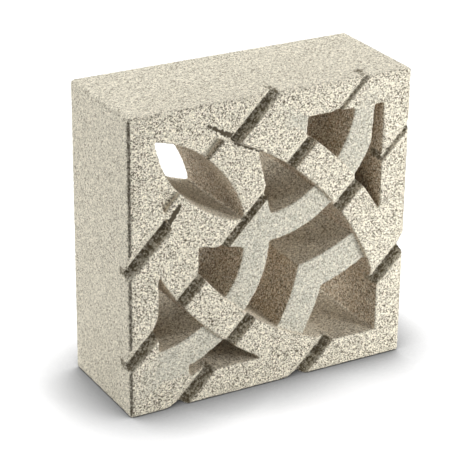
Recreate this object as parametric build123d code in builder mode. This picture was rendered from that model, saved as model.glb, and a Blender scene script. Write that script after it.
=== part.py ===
"""A pierced concrete screen block, cast in one piece.

The block is a square slab that stands on edge. Its border frames a weave of
flat curved straps, with openings right through between them. Two broad
quarter-circle bands pass over the narrower straps, and the whole face is
stepped along four lines at 45 degrees, where the surface dips into a notch
and rises again in a steep wall.

The origin is at the middle of the underside, X runs to the right along the
patterned face, Y into the block and Z up. The face is laid out from its lower
left corner. Apart from three gaps that have one end cast closed, what is on
it is symmetrical about the diagonal from its upper left corner to its lower
right one.
"""

import os
from math import sqrt

from build123d import *

# Block
face_side = 250.0
block_depth = 100.0
arris_radius = 2.0
border_width = 25.0

# Two broad bands, each a quarter circle about a corner of the face. Their
# middle lines meet the sides of the face this far from the next corners
band_margin = 2.5
band_width = 27.5

# Leaf-shaped opening, where two circles about the middle of the left edge and
# the middle of the top edge overlap. They meet those edges this far from the
# upper left corner
leaf_margin = 20.0

# Elbow: two arms that meet on the diagonal, about the same two middles, and
# reach this far beyond the ends of those edges
elbow_reach = 43.75
elbow_width = 27.5

# Inner strap, from beside the leaf to the lower band. Its centre is placed
# from the middle of the left edge, and it stays this far from the middle of
# the face
inner_strap_right = 34.8
inner_strap_up = 2.9
inner_strap_margin = 11.0
inner_strap_width = 23.8

# Corner strap, from the lower band to the border, with a slot between its end
# and the border. It is placed likewise, and reaches this far past the middle of
# the face
corner_strap_right = 18.3
corner_strap_up = 22.2
corner_strap_reach = 1.2
corner_strap_width = 25.4
slot_width = 8.5

# Three gaps have their left end cast closed, two as far as this to the left of
# the middle of the face, the third to the right of it. At the foot that is the
# slot
left_gap_inset = 63.5
foot_gap_inset = 72.0
top_edge_gap_inset = 30.5

# Solid head around the leaf: its lower edge falls from this far above the
# middle of the left edge to the crossing of the inner straps, which lies this
# far to the left of the middle of the face and below it
head_rise = 22.8
head_tip_left = 12.5
head_tip_below = 4.1

# Stepped notches. A step line is named by its distance to the right of the
# lower left corner, measured along the foot of the face
upper_step = -118.75
middle_step = -38.75
lower_step = 50.0
last_step = 158.75
notch_depth = 9.5
notch_ramp = 13.5
notch_wall_run = 2.0

# Beyond the upper band two of the notches are only faint
faint_notch_depth = 4.0
faint_notch_ramp = 6.0
faint_notch_wall_run = 1.0

# Straps lie this far back from the face where the bands pass over them
weave_recess = 5.0
head_recess = 2.5
head_step = -136.25
head_dip = 8.0
head_dip_length = 40.0
strap_dip = 5.75
corner_dip_start = 30.0
corner_dip_length = 57.0

# Cutting tools start this far in front of the face and end as far behind it
tool_clearance = 2.0

half_side = face_side / 2
face_diagonal = face_side * sqrt(2)
window_side = face_side - 2 * border_width
band_radius = face_side - band_margin
band_inner = band_radius - band_width / 2
band_outer = band_radius + band_width / 2
leaf_radius = half_side - leaf_margin
elbow_radius = half_side + elbow_reach
inner_strap_radius = half_side - inner_strap_margin - inner_strap_right
corner_strap_radius = half_side + corner_strap_reach - corner_strap_right

near_corner = (0.0, 0.0)
far_corner = (face_side, face_side)
face_middle = (half_side, half_side)
left_middle = (0.0, half_side)
top_middle = (half_side, face_side)
inner_strap_centre = (inner_strap_right, half_side + inner_strap_up)
corner_strap_centre = (corner_strap_right, half_side + corner_strap_up)
head_left = (0.0, half_side + head_rise)
head_tip = (half_side - head_tip_left, half_side - head_tip_below)

# The patterned face, with its lower left corner as the origin
face_plane = Plane(
    origin=(-half_side, -block_depth / 2, 0), x_dir=(1, 0, 0), z_dir=(0, -1, 0)
)
# Mirror for flat layouts, on the diagonal from upper left to lower right
diagonal = Plane(origin=(face_side, 0, 0), z_dir=(1, 1, 0))


def disc(centre, radius):
    """A flat disc on the face."""
    with BuildSketch() as layout:
        with Locations(centre):
            Circle(radius)
    return layout.sketch


def ring(centre, radius, width):
    """A flat ring on the face, with the radius of its middle line."""
    with BuildSketch() as layout:
        add(disc(centre, radius + width / 2))
        add(disc(centre, radius - width / 2), mode=Mode.SUBTRACT)
    return layout.sketch


def outline(*corners):
    """A flat shape on the face with straight sides."""
    with BuildSketch() as layout:
        with BuildLine():
            Polyline(*corners, close=True)
        make_face()
    return layout.sketch


def across_diagonal(point):
    """The place that mirrors a place on the face."""
    return (face_side - point[1], face_side - point[0])


def between_steps(start, end):
    """The part of the face between two step lines."""
    reach = 2 * face_side
    return outline(
        (start - reach, -reach), (end - reach, -reach), (end + reach, reach), (start + reach, reach)
    )


# The inner edge of the border
with BuildSketch() as window:
    with Locations(face_middle):
        Rectangle(window_side, window_side)

# The space that both bands surround
with BuildSketch() as weave_area:
    add(window.sketch)
    add(disc(far_corner, band_inner), mode=Mode.INTERSECT)
    add(disc(near_corner, band_inner), mode=Mode.INTERSECT)

# The space between the lower band and the lower left corner of the border
with BuildSketch() as corner_area:
    add(window.sketch)
    add(disc(far_corner, band_outer), mode=Mode.SUBTRACT)

with BuildSketch() as inner_strap:
    add(ring(inner_strap_centre, inner_strap_radius, inner_strap_width))
    add(disc(far_corner, band_inner), mode=Mode.INTERSECT)

with BuildSketch() as elbow_arm:
    add(ring(left_middle, elbow_radius, elbow_width))
    add(outline(near_corner, (face_side, 0), (0, face_side)), mode=Mode.INTERSECT)
    add(disc(far_corner, band_inner), mode=Mode.INTERSECT)

with BuildSketch() as corner_strap:
    add(ring(corner_strap_centre, corner_strap_radius, corner_strap_width))
    add(disc(far_corner, band_outer), mode=Mode.SUBTRACT)
    with Locations((border_width, border_width)):
        Rectangle(window_side, slot_width, align=Align.MIN, mode=Mode.SUBTRACT)

with BuildSketch() as straps:
    add(inner_strap.sketch)
    add(elbow_arm.sketch)
    add(corner_strap.sketch)
    mirror(about=diagonal)

with BuildSketch() as leaf:
    add(disc(left_middle, leaf_radius))
    add(disc(top_middle, leaf_radius), mode=Mode.INTERSECT)

head = outline(
    head_left, head_tip, across_diagonal(head_tip), across_diagonal(head_left), (0.0, face_side)
)

# The left gap lies between the bands, and the top edge gap beyond the upper one
with BuildSketch() as left_gap_filling:
    add(weave_area.sketch)
    Rectangle(half_side - left_gap_inset, face_side, align=Align.MIN, mode=Mode.INTERSECT)

with BuildSketch() as foot_gap_filling:
    Rectangle(half_side - foot_gap_inset, border_width + slot_width, align=Align.MIN)

with BuildSketch() as top_edge_gap_filling:
    Rectangle(half_side + top_edge_gap_inset, face_side, align=Align.MIN)
    add(disc(near_corner, band_outer), mode=Mode.SUBTRACT)

with BuildSketch() as openings:
    add(window.sketch)
    add(ring(far_corner, band_radius, band_width), mode=Mode.SUBTRACT)
    add(ring(near_corner, band_radius, band_width), mode=Mode.SUBTRACT)
    add(straps.sketch, mode=Mode.SUBTRACT)
    add(head, mode=Mode.SUBTRACT)
    add(left_gap_filling.sketch, mode=Mode.SUBTRACT)
    add(foot_gap_filling.sketch, mode=Mode.SUBTRACT)
    add(top_edge_gap_filling.sketch, mode=Mode.SUBTRACT)
    add(leaf.sketch)


def across_step(step):
    """A plane square to a step line: its X leads down and to the right, its Y into the block."""
    return Plane(
        origin=(step - half_side, -block_depth / 2, 0), x_dir=(1, 0, -1), z_dir=(1, 0, 1)
    )


def notch(step, depth, ramp, wall_run):
    """The prism that a stepped notch takes off the face, along one step line."""
    with BuildPart() as tool:
        with BuildSketch(across_step(step)):
            with BuildLine():
                Polyline(
                    (-ramp, 0),
                    (-wall_run, depth),
                    (0, 0),
                    (0, -tool_clearance),
                    (-ramp, -tool_clearance),
                    close=True,
                )
            make_face()
        extrude(amount=face_diagonal, both=True)
    return tool.part


# The upper notch runs over the border and the bands only
with BuildPart() as upper_notch:
    add(notch(upper_step, notch_depth, notch_ramp, notch_wall_run))
    with BuildSketch(face_plane.offset(tool_clearance)):
        add(weave_area.sketch)
    extrude(amount=-(notch_depth + 2 * tool_clearance), mode=Mode.SUBTRACT)

# The two notches in the middle grow faint beyond the upper band
with BuildPart() as middle_notches:
    for step in (middle_step, lower_step):
        add(notch(step, notch_depth, notch_ramp, notch_wall_run))
    with BuildSketch(face_plane.offset(tool_clearance)):
        add(disc(near_corner, band_outer))
    extrude(amount=-(notch_depth + 2 * tool_clearance), mode=Mode.INTERSECT)
    for step in (middle_step, lower_step):
        add(notch(step, faint_notch_depth, faint_notch_ramp, faint_notch_wall_run))

# Beside the leaf the head sinks towards a small step of its own
with BuildPart() as head_slope:
    with BuildSketch(face_plane.offset(tool_clearance)):
        add(weave_area.sketch)
        add(between_steps(-2 * face_side, head_step), mode=Mode.INTERSECT)
    extrude(amount=-(head_dip + 2 * tool_clearance))
    with BuildSketch(across_step(head_step)):
        with BuildLine():
            Polyline(
                (-head_dip_length, 0),
                (0, head_dip),
                (0, -tool_clearance),
                (-head_dip_length, -tool_clearance),
                close=True,
            )
        make_face()
    extrude(amount=face_diagonal, both=True, mode=Mode.INTERSECT)

# The corner straps sink from the border towards the bands
corner_dip_end = corner_dip_start + corner_dip_length
with BuildPart() as corner_slopes:
    with BuildSketch(face_plane.offset(tool_clearance)):
        add(corner_area.sketch)
    extrude(amount=-(strap_dip + 2 * tool_clearance))
    with BuildSketch(Plane(origin=(-half_side, -block_depth / 2, 0))):
        with BuildLine():
            Polyline(
                (corner_dip_start, 0),
                (corner_dip_end, strap_dip),
                (corner_dip_end, -tool_clearance),
                (corner_dip_start, -tool_clearance),
                close=True,
            )
        make_face()
    extrude(amount=face_side, mode=Mode.INTERSECT)
    mirror(about=Plane(origin=(0, 0, half_side), z_dir=(1, 0, 1)))

with BuildPart() as screen_block:
    Box(face_side, block_depth, face_side, align=(Align.CENTER, Align.CENTER, Align.MIN))
    fillet(screen_block.edges(), radius=arris_radius)

    # Openings, right through
    with BuildSketch(face_plane):
        add(openings.sketch)
    extrude(amount=-block_depth, mode=Mode.SUBTRACT)

    # The weave lies back from the bands, and less so beside the leaf
    with BuildSketch(face_plane):
        add(weave_area.sketch)
        add(between_steps(middle_step, 2 * face_side), mode=Mode.INTERSECT)
    extrude(amount=-weave_recess, mode=Mode.SUBTRACT)
    with BuildSketch(face_plane):
        add(weave_area.sketch)
        add(between_steps(head_step, middle_step), mode=Mode.INTERSECT)
    extrude(amount=-head_recess, mode=Mode.SUBTRACT)
    add(head_slope.part, mode=Mode.SUBTRACT)
    add(corner_slopes.part, mode=Mode.SUBTRACT)

    # Stepped notches across the whole face
    add(upper_notch.part, mode=Mode.SUBTRACT)
    add(middle_notches.part, mode=Mode.SUBTRACT)
    add(notch(last_step, notch_depth, notch_ramp, notch_wall_run), mode=Mode.SUBTRACT)

screen_block.part.label = "screen_block"

os.makedirs("parts", exist_ok=True)
export_step(screen_block.part, "parts/screen_block.step")
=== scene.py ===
from math import cos, radians, sin

import bmesh
import bpy
import numpy as np
from mathutils import Matrix, Vector


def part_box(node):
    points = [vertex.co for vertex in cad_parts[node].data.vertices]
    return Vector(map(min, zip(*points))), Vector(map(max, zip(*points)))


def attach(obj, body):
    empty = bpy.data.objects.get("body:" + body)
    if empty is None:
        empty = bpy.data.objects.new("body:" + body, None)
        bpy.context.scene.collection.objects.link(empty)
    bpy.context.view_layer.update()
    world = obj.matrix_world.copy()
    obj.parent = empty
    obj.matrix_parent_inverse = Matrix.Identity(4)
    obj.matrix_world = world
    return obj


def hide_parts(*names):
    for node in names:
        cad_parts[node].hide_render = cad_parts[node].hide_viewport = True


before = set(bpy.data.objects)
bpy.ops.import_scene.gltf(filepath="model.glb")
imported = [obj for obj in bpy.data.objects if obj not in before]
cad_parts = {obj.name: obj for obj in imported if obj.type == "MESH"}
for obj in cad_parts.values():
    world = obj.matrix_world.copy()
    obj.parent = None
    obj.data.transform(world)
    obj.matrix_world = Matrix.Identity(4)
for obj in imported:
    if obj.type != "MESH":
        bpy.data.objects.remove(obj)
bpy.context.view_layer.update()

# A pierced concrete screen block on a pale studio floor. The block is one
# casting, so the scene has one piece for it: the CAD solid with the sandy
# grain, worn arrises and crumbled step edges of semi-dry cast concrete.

bl_info = {
    "name": "Pierced screen block",
    "version": (1, 0, 0),
    "blender": (4, 5, 0),
    "location": "3D View > Sidebar > Screen block",
    "description": "Dresses a pierced concrete screen block and sets it on a studio floor",
    "category": "Object",
}

NODE = "screen_block"
MILLIMETRE = 0.001
BLOCK_LOW, BLOCK_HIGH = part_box(NODE)
MOST_TRIANGLES = 190000
SAME_PLACE = 0.01 * MILLIMETRE


def linear(hex_colour):
    """An sRGB hex colour as linear red, green, blue and alpha."""
    values = [int(hex_colour[i:i + 2], 16) / 255 for i in (0, 2, 4)]
    return (*(v / 12.92 if v <= 0.04045 else ((v + 0.055) / 1.055) ** 2.4 for v in values), 1.0)


def add_node(tree, kind, sockets=None, **settings):
    """Adds a node with its settings. Each socket takes a value or the output that feeds it."""
    node = tree.nodes.new(kind)
    for name, value in settings.items():
        setattr(node, name, value)
    for socket, value in (sockets or {}).items():
        if isinstance(value, bpy.types.NodeSocket):
            tree.links.new(value, node.inputs[socket])
        else:
            node.inputs[socket].default_value = value
    return node


class ConcreteSettings(bpy.types.PropertyGroup):
    """Sizes and colours of the cast concrete."""

    mesh_size: bpy.props.FloatProperty(
        name="Mesh size", description="Spacing of the fine mesh before it is thinned",
        default=1.0 * MILLIMETRE, unit="LENGTH")
    wear_reach: bpy.props.IntProperty(
        name="Wear reach", description="Rounds of smoothing that set how far wear reaches from an edge",
        default=3, min=1)
    wear: bpy.props.FloatProperty(
        name="Edge wear", description="How much of an edge is worn away where it is worn most",
        default=1.0, min=0.0, max=1.0, subtype="FACTOR")
    crumb_size: bpy.props.FloatProperty(
        name="Crumb size", description="Size of the crumbs that have left an edge",
        default=3 * MILLIMETRE, unit="LENGTH")
    crumb_depth: bpy.props.FloatProperty(
        name="Crumb depth", description="Depth of the crumbs that have left the step walls and the seam",
        default=1.2 * MILLIMETRE, unit="LENGTH")
    grain_size: bpy.props.FloatProperty(
        name="Grain size", description="Size of the coarse sand that roughens the edges",
        default=2.0 * MILLIMETRE, unit="LENGTH")
    grain_depth: bpy.props.FloatProperty(
        name="Grain depth", description="Depth of the pits that coarse sand leaves beside an edge",
        default=0.6 * MILLIMETRE, unit="LENGTH")
    face_colour: bpy.props.FloatVectorProperty(
        name="Face colour", description="Colour of the sandy outer faces",
        default=linear("CCC6B5")[:3], subtype="COLOR", size=3, min=0.0, max=1.0)
    # The core colour is browner than the faces, and partly painted shade: it is darker for the shade inside
    # the openings
    core_tone_and_shade: bpy.props.FloatVectorProperty(
        name="Core colour", description="Colour of the walls that the mould cores formed",
        default=linear("C0AB91")[:3], subtype="COLOR", size=3, min=0.0, max=1.0)
    # The step colour is painted shade in the crevices of the steps
    step_shade_colour: bpy.props.FloatVectorProperty(
        name="Step colour", description="Colour of the rough steep walls of the steps",
        default=linear("5C5341")[:3], subtype="COLOR", size=3, min=0.0, max=1.0)
    strap_colour: bpy.props.FloatVectorProperty(
        name="Strap colour", description="Colour of the straps that lie back from the face",
        default=linear("B9B7AA")[:3], subtype="COLOR", size=3, min=0.0, max=1.0)


class StudioSettings(bpy.types.PropertyGroup):
    """The floor, the lamps and the camera."""

    floor_colour: bpy.props.FloatVectorProperty(
        name="Floor colour", description="Colour of the pale floor",
        default=linear("F4F4F3")[:3], subtype="COLOR", size=3, min=0.0, max=1.0)
    shadow_colour: bpy.props.FloatVectorProperty(
        name="Shadow colour", description="Part of the floor's look that shadows can take away",
        default=(0.25, 0.25, 0.25), subtype="COLOR", size=3, min=0.0, max=1.0)
    floor_lift: bpy.props.FloatProperty(
        name="Floor lift", description="Light that the floor shows to the camera by itself",
        default=0.93, min=0.0)
    contact_reach: bpy.props.FloatProperty(
        name="Contact reach", description="How far the soft shadow under the block reaches",
        default=0.062, unit="LENGTH")
    contact_depth: bpy.props.FloatProperty(
        name="Contact depth", description="How dark the soft shadow under the block is",
        default=2.0, min=0.0)
    key_power: bpy.props.FloatProperty(
        name="Key power", description="Power of the key lamp on the right",
        default=8.0, min=0.0, unit="POWER")
    fill_power: bpy.props.FloatProperty(
        name="Fill power", description="Power of the low soft lamp on the right",
        default=6.5, min=0.0, unit="POWER")
    back_power: bpy.props.FloatProperty(
        name="Back power", description="Power of the soft lamp behind on the left",
        default=20.0, min=0.0, unit="POWER")
    top_power: bpy.props.FloatProperty(
        name="Top power", description="Power of the soft lamp overhead",
        default=14.0, min=0.0, unit="POWER")
    side_power: bpy.props.FloatProperty(
        name="Side power", description="Power of the soft lamp on the left",
        default=0.6, min=0.0, unit="POWER")
    sky_strength: bpy.props.FloatProperty(
        name="Sky strength", description="Strength of the even light from all round",
        default=0.36, min=0.0)
    lens: bpy.props.FloatProperty(
        name="Lens", description="Focal length of the camera in millimetres",
        default=150.15, min=1.0, unit="CAMERA")


# Where the noises of the crumbs and the sand begin to show, and where they are full
CRUMB_PATCHES = (0.42, 0.66)
CRUMB_HOLLOWS = (0.35, 0.60)
SAND_PITS = (0.30, 0.65)

# The share of an edge's wear outside the patches and in them, and how far the
# surface is from its smoothed place where sand begins to show beside an edge,
# and where it is full
PATCH_WEAR = (0.1, 1.8)
EDGE_BEND = (0.04 * MILLIMETRE, 0.15 * MILLIMETRE)
SEED = 7.0


def wear_tree(settings, material):
    """Geometry nodes that wear the edges of a dense mesh and roughen them with coarse sand."""
    tree = bpy.data.node_groups.new("concrete_wear", "GeometryNodeTree")
    interface = tree.interface
    interface.new_socket("Geometry", in_out="INPUT", socket_type="NodeSocketGeometry")
    sizes = {
        "Wear reach": ("NodeSocketInt", settings.wear_reach),
        "Edge wear": ("NodeSocketFloat", settings.wear),
        "Crumb size": ("NodeSocketFloat", settings.crumb_size),
        "Crumb depth": ("NodeSocketFloat", settings.crumb_depth),
        "Grain size": ("NodeSocketFloat", settings.grain_size),
        "Grain depth": ("NodeSocketFloat", settings.grain_depth),
        "Seed": ("NodeSocketFloat", SEED),
    }
    for name, (kind, value) in sizes.items():
        interface.new_socket(name, in_out="INPUT", socket_type=kind).default_value = value
    interface.new_socket("Geometry", in_out="OUTPUT", socket_type="NodeSocketGeometry")
    given = add_node(tree, "NodeGroupInput").outputs
    place = add_node(tree, "GeometryNodeInputPosition").outputs[0]
    facing = add_node(tree, "GeometryNodeInputNormal").outputs[0]

    # The way to the smoothed surface points inwards on an outer edge
    smooth = add_node(
        tree, "GeometryNodeBlurAttribute",
        {"Value": place, "Iterations": given["Wear reach"]}, data_type="FLOAT_VECTOR")
    inward = add_node(
        tree, "ShaderNodeVectorMath", {0: smooth.outputs[0], 1: place}, operation="SUBTRACT")
    outer = add_node(
        tree, "ShaderNodeVectorMath", {0: inward.outputs[0], 1: facing}, operation="DOT_PRODUCT")
    is_outer = add_node(
        tree, "ShaderNodeMath", {0: outer.outputs["Value"], 1: 0.0}, operation="LESS_THAN")

    # Crumbs leave an edge in patches
    crumb_scale = add_node(
        tree, "ShaderNodeMath", {0: 1.0, 1: given["Crumb size"]}, operation="DIVIDE")
    crumbs = add_node(
        tree, "ShaderNodeTexNoise",
        {"W": given["Seed"], "Scale": crumb_scale.outputs[0], "Detail": 3.0, "Roughness": 0.6},
        noise_dimensions="4D")
    patches = add_node(
        tree, "ShaderNodeMapRange",
        {"Value": crumbs.outputs[0], "From Min": CRUMB_PATCHES[0], "From Max": CRUMB_PATCHES[1],
         "To Min": PATCH_WEAR[0], "To Max": PATCH_WEAR[1]})
    share = add_node(
        tree, "ShaderNodeMath", {0: patches.outputs[0], 1: given["Edge wear"]}, operation="MULTIPLY")
    worn = add_node(
        tree, "ShaderNodeMath", {0: share.outputs[0], 1: is_outer.outputs[0]}, operation="MULTIPLY")
    wear = add_node(
        tree, "ShaderNodeVectorMath", {0: inward.outputs[0], "Scale": worn.outputs[0]}, operation="SCALE")

    # Coarse sand roughens the edges inwards, never outwards. On the flat faces it
    # is left to the material
    bend = add_node(tree, "ShaderNodeVectorMath", {0: inward.outputs[0]}, operation="LENGTH")
    beside_edge = add_node(
        tree, "ShaderNodeMapRange",
        {"Value": bend.outputs["Value"], "From Min": EDGE_BEND[0], "From Max": EDGE_BEND[1]})
    grain_scale = add_node(
        tree, "ShaderNodeMath", {0: 1.0, 1: given["Grain size"]}, operation="DIVIDE")
    sand = add_node(
        tree, "ShaderNodeTexNoise",
        {"W": given["Seed"], "Scale": grain_scale.outputs[0], "Detail": 2.0, "Roughness": 0.7},
        noise_dimensions="4D")
    pits = add_node(
        tree, "ShaderNodeMapRange",
        {"Value": sand.outputs[0], "From Min": SAND_PITS[0], "From Max": SAND_PITS[1],
         "To Min": -1.0, "To Max": 0.0})
    depth = add_node(
        tree, "ShaderNodeMath", {0: pits.outputs[0], 1: given["Grain depth"]}, operation="MULTIPLY")
    depth = add_node(
        tree, "ShaderNodeMath", {0: depth.outputs[0], 1: beside_edge.outputs[0]}, operation="MULTIPLY")

    # The step walls and the seam of the mould are torn, with deep crumbs out of them
    torn = add_node(
        tree, "GeometryNodeInputNamedAttribute", {"Name": "torn"}, data_type="FLOAT").outputs[0]
    hollows = add_node(
        tree, "ShaderNodeMapRange",
        {"Value": crumbs.outputs[0], "From Min": CRUMB_HOLLOWS[0], "From Max": CRUMB_HOLLOWS[1],
         "To Min": 0.0, "To Max": -1.0})
    bite = add_node(
        tree, "ShaderNodeMath", {0: hollows.outputs[0], 1: given["Crumb depth"]}, operation="MULTIPLY")
    torn_depth = add_node(
        tree, "ShaderNodeMath",
        {0: bite.outputs[0], 1: torn, 2: depth.outputs[0]}, operation="MULTIPLY_ADD")
    grain = add_node(
        tree, "ShaderNodeVectorMath", {0: facing, "Scale": torn_depth.outputs[0]}, operation="SCALE")
    move = add_node(
        tree, "ShaderNodeVectorMath", {0: wear.outputs[0], 1: grain.outputs[0]}, operation="ADD")
    moved = add_node(
        tree, "GeometryNodeSetPosition", {"Geometry": given["Geometry"], "Offset": move.outputs[0]})
    real = add_node(tree, "GeometryNodeRealizeInstances", {"Geometry": moved.outputs[0]})
    dressed = add_node(
        tree, "GeometryNodeSetMaterial", {"Geometry": real.outputs[0], "Material": material})
    add_node(tree, "NodeGroupOutput", {"Geometry": dressed.outputs[0]})
    return tree


# The layout of the face in millimetres from its lower left corner: the step
# lines by their place along the foot, the inner edge of the border, and the
# two edges of the bands, measured from the corners that they curve about
STEP_LINES = (-118.75, -38.75, 50.0, 158.75)
STEP_WALL_RUN = 2.9
# The painted shade of a step reaches STEP_FOOT millimetres down the ramp below its wall, where the surface
# lies STEP_FLOOR deep
STEP_FOOT = 3.6
STEP_FADES = (0.8, 1.2)
STEP_FLOOR = (4.0, 5.0)
STEP_REACH = 17.0
HEAD_STEP = -136.25
HEAD_STEP_HALF_WIDTH = 1.5
HEAD_STEP_REACH = 5.0
HEAD_END = -38.75
BORDER = 25.0
CORE_ROOM = 20.0
CORE_START = 1.0
FACE_SIDE = (BLOCK_HIGH.x - BLOCK_LOW.x) / MILLIMETRE
BAND_EDGES = (233.75, 261.25)
FADE = 1.0

# How far a surface has to face a way to count, as a share of facing it fully
UPHILL = (0.3, 0.6)
STEP_FLOOR_FACING = 0.3
SIDEWAYS = (0.35, 0.65)
UPWARDS = (0.55, 0.75)
STRAP_FACING = (0.5, 0.7)
OPEN_FACING = (0.3, 0.7)

# How much less of a core wall's colour shows where it faces up, as painted
# light on the lit floors of the openings, how far from the arris the seam tears
# the concrete, and how much of a step's tear it has
LIT_FLOOR_SHARE = 0.7
SEAM_TEAR_REACH = (1.2, 2.6)
SEAM_TEAR = 0.6


def rise(values, low, high):
    """Goes from 0 to 1 as the values go from low to high."""
    return np.clip((values - low) / (high - low), 0, 1)


def mark_surfaces(mesh):
    """Stores how each vertex was made, as numbers from 0 to 1.

    core_wall is a wall that a mould core formed, less so where it faces up, which is
    painted light on the lit floors of the openings. The step mark is painted shade in
    the crevice of each step: its steep wall, the foot of the ramp below it, and the
    upper part of the head step. laid_back is a strap behind the bands, open_face the
    patterned side, and torn the step walls and the edge where the mould halves met.
    """
    places, facing = np.empty((2, len(mesh.vertices) * 3), np.float32)
    mesh.vertices.foreach_get("co", places)
    mesh.vertices.foreach_get("normal", facing)
    places, facing = places.reshape(-1, 3), facing.reshape(-1, 3)
    right = (places[:, 0] - BLOCK_LOW.x) / MILLIMETRE
    height = (places[:, 2] - BLOCK_LOW.z) / MILLIMETRE
    depth = (places[:, 1] - BLOCK_LOW.y) / MILLIMETRE
    along = right - height

    edge_room = np.minimum.reduce([right, FACE_SIDE - right, height, FACE_SIDE - height])
    uphill = rise((facing[:, 2] - facing[:, 0]) / 2 ** 0.5, *UPHILL)
    head_wall = (np.abs(along - HEAD_STEP) < HEAD_STEP_HALF_WIDTH) * uphill * (depth < HEAD_STEP_REACH)
    # The dark strip on the upper part of the head step is painted shade
    step = head_wall * (right + height > FACE_SIDE)
    foot_fade, top_fade = STEP_FADES
    # Painted shade in the crevice of each step: its steep wall and the deep foot of the ramp below it
    for line in STEP_LINES:
        foot = line - STEP_WALL_RUN - STEP_FOOT
        near = rise(along, foot - foot_fade, foot) * (1 - rise(along, line, line + top_fade))
        down = rise(depth, *STEP_FLOOR) * (facing[:, 1] < -STEP_FLOOR_FACING)
        step = np.maximum(step, near * np.maximum(down, uphill))
    step = step * (depth < STEP_REACH)
    core = (1 - rise(np.abs(facing[:, 1]), *SIDEWAYS)) * (edge_room > CORE_ROOM) * (depth > CORE_START)
    core = core * (1 - step) * (1 - head_wall) * (1 - LIT_FLOOR_SHARE * rise(facing[:, 2], *UPWARDS))

    from_near = np.hypot(right, height)
    from_far = np.hypot(FACE_SIDE - right, FACE_SIDE - height)
    inner, outer = BAND_EDGES
    weave = (1 - rise(from_near, inner - FADE, inner)) * (1 - rise(from_far, inner - FADE, inner))
    corners = rise(from_near, outer, outer + FADE) + rise(from_far, outer, outer + FADE)
    strap = weave * rise(along, HEAD_END, HEAD_END + FADE) + corners
    strap = strap * rise(edge_room, BORDER, BORDER + FADE)
    strap = strap * rise(-facing[:, 1], *STRAP_FACING) * (depth < STEP_REACH)

    seam = 1 - rise(np.hypot(right, depth), *SEAM_TEAR_REACH)
    marks = {
        "core_wall": core,
        "step_shade": step,
        "laid_back": strap,
        "open_face": rise(-facing[:, 1], *OPEN_FACING),
        "torn": np.maximum(step, SEAM_TEAR * seam),
    }
    for name, values in marks.items():
        attribute = mesh.attributes.get(name) or mesh.attributes.new(name, "FLOAT", "POINT")
        attribute.data.foreach_set("value", np.asarray(values, np.float32))


# Colours in the concrete, beside those that the settings hold
PASTE_SHADE = linear("A79F8B")
PASTE_BLOOM = linear("E2DCCB")
PALE_GRAIN = linear("FAF3E0")
DARK_GRAIN = linear("4E4435")
COARSE_FLECK = linear("4A4236")
# Painted shadow of the thin strips beside raised edges
STRIP_SHADOW_COLOUR = linear("4A4234")

# Noises of the concrete: millimetres across, detail and roughness. The paste
# changes slowly, damp marks are clouds, and sand and lumps make the surface
NOISES = {
    "paste": (45, 2.0, 0.5),
    "damp": (12, 2.0, 0.5),
    "ragged": (2.5, 2.0, 0.5),
    "sand": (0.9, 3.0, 0.7),
    "lumps": (2.4, 2.0, 0.5),
}

# Grains in millimetres. Sand is 0.3 to 1.5 mm, and the finest is drawn at
# 0.8 mm, the least that shows. The coarse grains are fine gravel, and the
# crumbs are what the torn places are made of
GRAINS = {"fine": 0.8, "coarse": 2.3, "crumbs": 1.8}

# How much of the grain shows on the moulded sides, and on the straps as a
# share of the rest
SIDE_GRAIN = 0.72
STRAP_GRAIN = 0.6

# Relief of the sand in metres, and its strength on the sides and the open face
SAND_RELIEF = 0.9 * MILLIMETRE
SAND_STRENGTH = (0.5, 1.0)
LUMP_SHARE = 0.6

# A dark line up the left arris of the open face: reach from the corner line and
# fade in millimetres, and strength
ARRIS_LINE_REACH = 1.65
ARRIS_LINE_FADE = 0.7
ARRIS_LINE_STRENGTH = 0.85

# Painted shadows in thin dark strips on the open face, beside edges that stand
# above it: start, end, and the half widths there in millimetres, with how ragged
# their sides are and how soft their sides and ends
SHADOW_STRIPS = (
    ((66.0, 233.5), (91.0, 219.5), 0.6, 2.8),
    ((91.0, 214.5), (115.0, 203.0), 1.4, 0.9),
    ((34.0, 157.0), (45.0, 172.5), 2.6, 1.6),
)
STRIP_RAGGED = 1.1 * MILLIMETRE
STRIP_SIDE = 0.3 * MILLIMETRE
STRIP_TIP = 0.5 * MILLIMETRE


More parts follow.
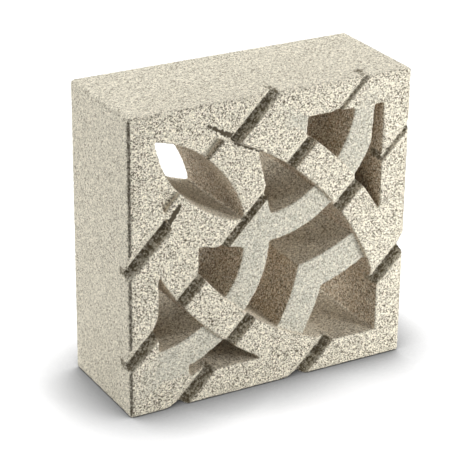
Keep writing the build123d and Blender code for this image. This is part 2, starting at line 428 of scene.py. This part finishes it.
def cast_concrete(settings):
    """Semi-dry cast concrete: cement and washed sand, pressed and turned out of a mould.

    It is dead matt, with pale and dark grains in a warm grey paste. Its colour
    also holds painted shade in the steps, in the openings and beside raised edges,
    and painted light on the floors of the openings.
    """
    material = bpy.data.materials.new("cast_concrete")
    material.use_nodes = True
    tree = material.node_tree
    tree.nodes.clear()
    place = add_node(tree, "ShaderNodeTexCoord").outputs["Object"]
    marks = {
        name: add_node(tree, "ShaderNodeAttribute", attribute_name=name).outputs["Fac"]
        for name in ("core_wall", "step_shade", "laid_back", "open_face")}
    noises = {
        name: add_node(
            tree, "ShaderNodeTexNoise",
            {"Vector": place, "Scale": 1 / (size * MILLIMETRE), "Detail": detail, "Roughness": roughness},
        ).outputs[0]
        for name, (size, detail, roughness) in NOISES.items()}

    # Each grain has a random lot and the way to its middle
    lots, reaches = {}, {}
    for name, size in GRAINS.items():
        cells = add_node(
            tree, "ShaderNodeTexVoronoi", {"Vector": place, "Scale": 1 / (size * MILLIMETRE)}).outputs
        lots[name] = add_node(tree, "ShaderNodeSeparateColor", {"Color": cells["Color"]}).outputs
        reaches[name] = cells["Distance"]

    def product(*shares):
        """Multiplies shares: outputs, or outputs with the range they are read over and what it gives."""
        result = None
        for share in shares:
            if isinstance(share, tuple):
                value, low, high, to_low, to_high = share
                share = add_node(
                    tree, "ShaderNodeMapRange",
                    {"Value": value, "From Min": low, "From Max": high, "To Min": to_low, "To Max": to_high},
                ).outputs[0]
            result = share if result is None else add_node(
                tree, "ShaderNodeMath", {0: result, 1: share}, operation="MULTIPLY").outputs[0]
        return result

    def coat(base, colour, *shares):
        """Lays a colour over the base as far as the product of the shares goes."""
        mix = {0: product(*shares), 6: base, 7: colour}
        return add_node(tree, "ShaderNodeMix", mix, data_type="RGBA").outputs[2]

    base = coat((*settings.face_colour, 1), (*settings.strap_colour, 1), marks["laid_back"])
    # Core walls are darker as painted shade inside the openings, and less so where they face up, as painted
    # light on their lit floors
    base = coat(base, (*settings.core_tone_and_shade, 1), marks["core_wall"])
    base = coat(base, PASTE_SHADE, (noises["paste"], 0.35, 0.65, 0.0, 0.12))
    base = coat(base, PASTE_BLOOM, (noises["damp"], 0.45, 0.75, 0.0, 0.18))

    # The open face and the core walls show the grains more than the moulded sides
    # do, and the smoother straps less. On the open face the stronger grain is partly
    # painted light: it stands in for the relief that the grazing key light shows
    strong_grain_face = add_node(
        tree, "ShaderNodeMath",
        {0: marks["open_face"], 1: marks["core_wall"]}, operation="MAXIMUM").outputs[0]
    show = product((strong_grain_face, 0.0, 1.0, SIDE_GRAIN, 1.0), (marks["laid_back"], 0.0, 1.0, 1.0, STRAP_GRAIN))
    base = coat(base, PALE_GRAIN, (lots["fine"][0], 0.58, 0.92, 0.0, 0.9), show)
    base = coat(base, DARK_GRAIN, (lots["fine"][0], 0.1, 0.43, 1.0, 0.0), show)
    base = coat(
        base, COARSE_FLECK,
        (lots["coarse"][1], 0.08, 0.12, 0.85, 0.0), (reaches["coarse"], 0.26, 0.40, 1.0, 0.0), show)

    # Painted shade in the crevices of the steps, broken up by the crumbs
    base = coat(
        base, (*settings.step_shade_colour, 1),
        (lots["crumbs"][0], 0.25, 0.65, 0.25, 1.0), (reaches["crumbs"], 0.15, 0.5, 0.75, 1.0),
        marks["step_shade"])

    # The colour is darker in a thin line up the left arris of the open face
    aside = add_node(
        tree, "ShaderNodeVectorMath",
        {0: place, 1: (BLOCK_LOW.x, BLOCK_LOW.y, 0)}, operation="SUBTRACT").outputs[0]
    aside = add_node(
        tree, "ShaderNodeVectorMath", {0: aside, 1: (1, 1, 0)}, operation="MULTIPLY").outputs[0]
    aside = add_node(tree, "ShaderNodeVectorMath", {0: aside}, operation="LENGTH").outputs["Value"]
    dark_lines = product(
        (aside, ARRIS_LINE_REACH * MILLIMETRE, (ARRIS_LINE_REACH + ARRIS_LINE_FADE) * MILLIMETRE, ARRIS_LINE_STRENGTH, 0.0))
    ragged = product((noises["ragged"], 0.3, 0.7, -STRIP_RAGGED, STRIP_RAGGED))

    # Painted shadow in thin strips beside the raised edges of the open face
    for start, end, start_width, end_width in SHADOW_STRIPS:
        low = Vector((BLOCK_LOW.x + start[0] * MILLIMETRE, 0, BLOCK_LOW.z + start[1] * MILLIMETRE))
        way = Vector((end[0] - start[0], 0, end[1] - start[1])) * MILLIMETRE
        run = way.normalized()
        offset = add_node(
            tree, "ShaderNodeVectorMath", {0: place, 1: low}, operation="SUBTRACT").outputs[0]
        gone, off = (
            add_node(
                tree, "ShaderNodeVectorMath",
                {0: offset, 1: line}, operation="DOT_PRODUCT").outputs["Value"]
            for line in (run, (-run.z, 0, run.x)))
        off = add_node(tree, "ShaderNodeMath", {0: off}, operation="ABSOLUTE").outputs[0]
        off = add_node(tree, "ShaderNodeMath", {0: off, 1: ragged}, operation="ADD").outputs[0]
        width = product((gone, 0, way.length, start_width * MILLIMETRE, end_width * MILLIMETRE))
        off = add_node(tree, "ShaderNodeMath", {0: off, 1: width}, operation="SUBTRACT").outputs[0]
        strip_shadow = product(
            (off, -STRIP_SIDE, STRIP_SIDE, 1.0, 0.0), marks["open_face"],
            (gone, -STRIP_TIP, STRIP_TIP, 0.0, 1.0),
            (gone, way.length - STRIP_TIP, way.length + STRIP_TIP, 1.0, 0.0))
        dark_lines = add_node(
            tree, "ShaderNodeMath", {0: dark_lines, 1: strip_shadow}, operation="MAXIMUM").outputs[0]
    base = coat(base, STRIP_SHADOW_COLOUR, dark_lines)

    lumps = product((noises["lumps"], 0.0, 1.0, 0.0, LUMP_SHARE))
    relief = add_node(
        tree, "ShaderNodeMath", {0: noises["sand"], 1: lumps}, operation="ADD").outputs[0]
    strength = product((marks["open_face"], 0.0, 1.0, *SAND_STRENGTH))
    bump = add_node(
        tree, "ShaderNodeBump", {"Strength": strength, "Distance": SAND_RELIEF, "Height": relief})
    look = {
        "Base Color": base, "Roughness": 0.95, "IOR": 1.5, "Specular IOR Level": 0.25,
        "Normal": bump.outputs[0]}
    shader = add_node(tree, "ShaderNodeBsdfPrincipled", look)
    add_node(tree, "ShaderNodeOutputMaterial", {"Surface": shader.outputs[0]})
    return material


def apply_modifiers(piece):
    """Makes what the modifiers show the piece's own mesh."""
    evaluated = piece.evaluated_get(bpy.context.evaluated_depsgraph_get())
    mesh = bpy.data.meshes.new_from_object(evaluated)
    piece.modifiers.clear()
    piece.data = mesh


class SCREENBLOCK_OT_cast_block(bpy.types.Operator):
    """Cast the block: the CAD solid with worn edges and sandy faces."""

    bl_idname = "screenblock.cast_block"
    bl_label = "Cast block"

    def execute(self, context):
        settings = context.scene.screen_block_concrete
        material = cast_concrete(settings)
        mesh = bpy.data.meshes.new("cast_block")
        solid = bmesh.new()
        solid.from_mesh(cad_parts[NODE].data)
        bmesh.ops.remove_doubles(solid, verts=solid.verts, dist=SAME_PLACE)
        solid.to_mesh(mesh)
        solid.free()
        mesh.materials.clear()
        draft = bpy.data.objects.new("cast_block_draft", mesh)
        context.scene.collection.objects.link(draft)

        remesh = draft.modifiers.new("even_mesh", "REMESH")
        remesh.mode = "VOXEL"
        remesh.voxel_size = settings.mesh_size
        apply_modifiers(draft)
        mark_surfaces(draft.data)
        weathering = draft.modifiers.new("concrete_wear", "NODES")
        weathering.node_group = wear_tree(settings, material)
        apply_modifiers(draft)
        faces = sum(len(p.vertices) - 2 for p in draft.data.polygons)
        thin = draft.modifiers.new("thin_flat_faces", "DECIMATE")
        thin.ratio = min(1.0, MOST_TRIANGLES / faces)
        apply_modifiers(draft)
        block_mesh = draft.data
        bpy.data.objects.remove(draft)

        keep_in_box(block_mesh)
        block_mesh.shade_smooth()
        mark_surfaces(block_mesh)
        block = bpy.data.objects.new("pierced_block", block_mesh)
        context.scene.collection.objects.link(block)

        # Large flat triangles keep their own light beside the small ones of an edge
        block.modifiers.new("flat_faces", "WEIGHTED_NORMAL").weight = 100
        apply_modifiers(block)
        block.data.name = "pierced_block"
        block.data.materials.clear()
        block.data.materials.append(material)
        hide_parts(NODE)
        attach(block, "root")
        print("pierced_block triangles", sum(len(p.vertices) - 2 for p in block.data.polygons))
        return {"FINISHED"}


def keep_in_box(mesh):
    """Keeps every vertex inside the solid's own box."""
    places = np.empty(len(mesh.vertices) * 3, np.float32)
    mesh.vertices.foreach_get("co", places)
    places = places.reshape(-1, 3)
    places = np.clip(places, np.array(BLOCK_LOW), np.array(BLOCK_HIGH)).astype(np.float32)
    mesh.vertices.foreach_set("co", places.ravel())
    mesh.update()


def seen_directly(tree):
    """1 where the camera sees a surface, also in a mirror or through glass, and 0 for its light."""
    light = add_node(tree, "ShaderNodeLightPath").outputs
    seen = light["Is Camera Ray"]
    for ray in ("Is Glossy Ray", "Is Transmission Ray"):
        seen = add_node(tree, "ShaderNodeMath", {0: seen, 1: light[ray]}, operation="MAXIMUM").outputs[0]
    return seen


def pale_floor(settings):
    """Matt white studio paper, which shows to the camera as white with a soft grey shadow."""
    material = bpy.data.materials.new("white_paper")
    material.use_nodes = True
    tree = material.node_tree
    tree.nodes.clear()
    seen = seen_directly(tree)

    # The paper is darker close to what stands on it
    close = add_node(tree, "ShaderNodeAmbientOcclusion", {"Distance": settings.contact_reach}, samples=8)
    close = add_node(
        tree, "ShaderNodeMath",
        {0: close.outputs["AO"], 1: settings.contact_depth}, operation="POWER").outputs[0]
    shown = add_node(
        tree, "ShaderNodeMix", {0: close, 6: (0, 0, 0, 1), 7: (*settings.shadow_colour, 1)}, data_type="RGBA")
    paper = add_node(
        tree, "ShaderNodeMix",
        {0: seen, 6: (*settings.floor_colour, 1), 7: shown.outputs[2]}, data_type="RGBA")
    paper = add_node(tree, "ShaderNodeBsdfDiffuse", {"Color": paper.outputs[2]})
    lift = add_node(
        tree, "ShaderNodeMath", {0: seen, 1: settings.floor_lift}, operation="MULTIPLY").outputs[0]
    lift = add_node(tree, "ShaderNodeMath", {0: lift, 1: close}, operation="MULTIPLY").outputs[0]
    glow = add_node(tree, "ShaderNodeEmission", {"Color": (1, 1, 1, 1), "Strength": lift})
    both = add_node(tree, "ShaderNodeAddShader", {0: paper.outputs[0], 1: glow.outputs[0]})
    add_node(tree, "ShaderNodeOutputMaterial", {"Surface": both.outputs[0]})
    return material


# The studio in metres: half the floor, what the lamps point at, and the camera
# with its yaw, its pitch down and its roll in degrees
FLOOR_REACH = 12.0
LAMPS_AIM = (0, 0, 0.12)
CAMERA_PLACE = (-0.7215, -1.2635, 0.766)
CAMERA_TURN = (-29.61, 24.27, 0.72)


class SCREENBLOCK_OT_studio(bpy.types.Operator):
    """Lay the floor, set the lamps and place the camera."""

    bl_idname = "screenblock.studio"
    bl_label = "Studio"

    def execute(self, context):
        settings = context.scene.screen_block_studio
        scene = context.scene
        scene.view_settings.view_transform = "Standard"

        reach = FLOOR_REACH
        corners = [(-reach, -reach, 0), (reach, -reach, 0), (reach, reach, 0), (-reach, reach, 0)]
        mesh = bpy.data.meshes.new("floor")
        mesh.from_pydata(corners, [], [(0, 1, 2, 3)])
        mesh.materials.append(pale_floor(settings))
        floor = bpy.data.objects.new("floor", mesh)
        scene.collection.objects.link(floor)

        # The even light of a white room, which the camera sees as plain white
        world = bpy.data.worlds.new("white_room")
        world.use_nodes = True
        scene.world = world
        tree = world.node_tree
        tree.nodes.clear()
        strength = add_node(
            tree, "ShaderNodeMapRange",
            {"Value": seen_directly(tree), "To Min": settings.sky_strength, "To Max": 1.0}).outputs[0]
        sky = add_node(tree, "ShaderNodeBackground", {"Color": (1, 1, 1, 1), "Strength": strength})
        add_node(tree, "ShaderNodeOutputWorld", {"Surface": sky.outputs[0]})

        # Lamp name: power, width, place
        lamps = {
            "key": (settings.key_power, 0.27, (0.915, -1.346, 1.6)),
            "fill": (settings.fill_power, 0.4, (0.5, -0.62, 0.08)),
            "top": (settings.top_power, 0.8, (0.35, 0.45, 1.5)),
            "side": (settings.side_power, 1.2, (-1.5, -0.6, 0.15)),
            "back": (settings.back_power, 1.2, (-0.85, 1.3, 0.6)),
        }
        for name, (power, width, place) in lamps.items():
            lamp = bpy.data.lights.new(name, "AREA")
            lamp.shape = "DISK"
            lamp.size = width
            lamp.energy = power
            lamp_object = bpy.data.objects.new(name, lamp)
            lamp_object.visible_camera = False
            scene.collection.objects.link(lamp_object)
            lamp_object.location = place
            aim = Vector(LAMPS_AIM) - lamp_object.location
            lamp_object.rotation_euler = aim.to_track_quat("-Z", "Y").to_euler()

        # From here the block's corners fall as in the photograph
        camera = bpy.data.cameras.new("camera")
        camera.lens = settings.lens
        camera.sensor_width = 36.0
        camera_object = bpy.data.objects.new("camera", camera)
        scene.collection.objects.link(camera_object)
        yaw, pitch, roll = (radians(angle) for angle in CAMERA_TURN)
        ahead = Vector((-sin(yaw) * cos(pitch), cos(yaw) * cos(pitch), -sin(pitch)))
        level = Vector((cos(yaw), sin(yaw), 0))
        upright = level.cross(ahead)
        right = cos(roll) * level + sin(roll) * upright
        up = cos(roll) * upright - sin(roll) * level
        turn = Matrix((right, up, -ahead)).transposed().to_4x4()
        camera_object.matrix_world = Matrix.Translation(CAMERA_PLACE) @ turn
        scene.camera = camera_object
        return {"FINISHED"}


class VIEW3D_PT_screen_block(bpy.types.Panel):
    """Settings and steps of the screen block."""

    bl_label = "Screen block"
    bl_idname = "VIEW3D_PT_screen_block"
    bl_space_type = "VIEW_3D"
    bl_region_type = "UI"
    bl_category = "Screen block"

    def draw(self, context):
        layout = self.layout
        for settings in (context.scene.screen_block_concrete, context.scene.screen_block_studio):
            column = layout.column()
            for name in settings.bl_rna.properties.keys():
                if name not in ("name", "rna_type"):
                    column.prop(settings, name)
        layout.operator(SCREENBLOCK_OT_cast_block.bl_idname)
        layout.operator(SCREENBLOCK_OT_studio.bl_idname)


CLASSES = (
    ConcreteSettings,
    StudioSettings,
    SCREENBLOCK_OT_cast_block,
    SCREENBLOCK_OT_studio,
    VIEW3D_PT_screen_block,
)


def register():
    for cls in CLASSES:
        bpy.utils.register_class(cls)
    bpy.types.Scene.screen_block_concrete = bpy.props.PointerProperty(type=ConcreteSettings)
    bpy.types.Scene.screen_block_studio = bpy.props.PointerProperty(type=StudioSettings)


def unregister():
    del bpy.types.Scene.screen_block_studio
    del bpy.types.Scene.screen_block_concrete
    for cls in reversed(CLASSES):
        bpy.utils.unregister_class(cls)


def main():
    register()
    bpy.ops.screenblock.cast_block()
    bpy.ops.screenblock.studio()


if __name__ == "__main__":
    main()
